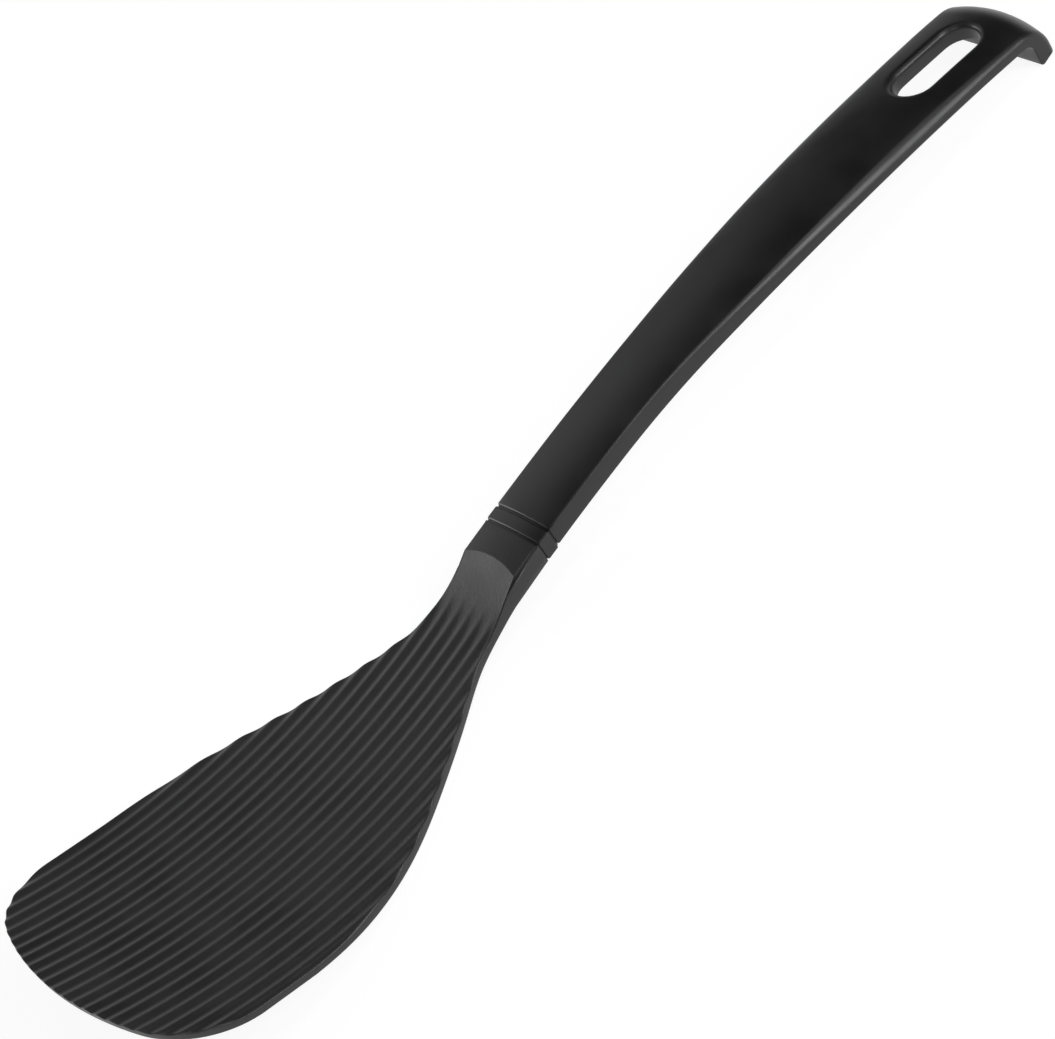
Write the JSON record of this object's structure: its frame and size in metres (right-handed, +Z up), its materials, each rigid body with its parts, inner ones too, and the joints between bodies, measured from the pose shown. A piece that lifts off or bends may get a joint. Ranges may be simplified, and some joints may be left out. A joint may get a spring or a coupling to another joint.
{
  "type": "rice paddle",
  "caption": "Rice paddle with a wide ribbed scoop blade, a thin collar ring and a bowed handle that ends in a hook with a hanging slot.",
  "frame": {"origin": "middle of the bounding box at table level, where the blade's belly and the lip's foot rest", "axes": "+X from the blade's tip to the hook, +Y to the left of someone who looks along +X, +Z up from the table"},
  "size_m": [0.3236, 0.0826, 0.0234],
  "materials": {
    "blade_nylon": "fine matte grain, near black",
    "ring_plastic": "satin, near black",
    "handle_plastic": "satin, near black"
  },
  "bodies": {
    "root": {"blade": "blade_nylon", "collar_ring": "ring_plastic", "handle_shell": "handle_plastic", "handle_back_cover": "handle_plastic"}
  },
  "joints": []
}
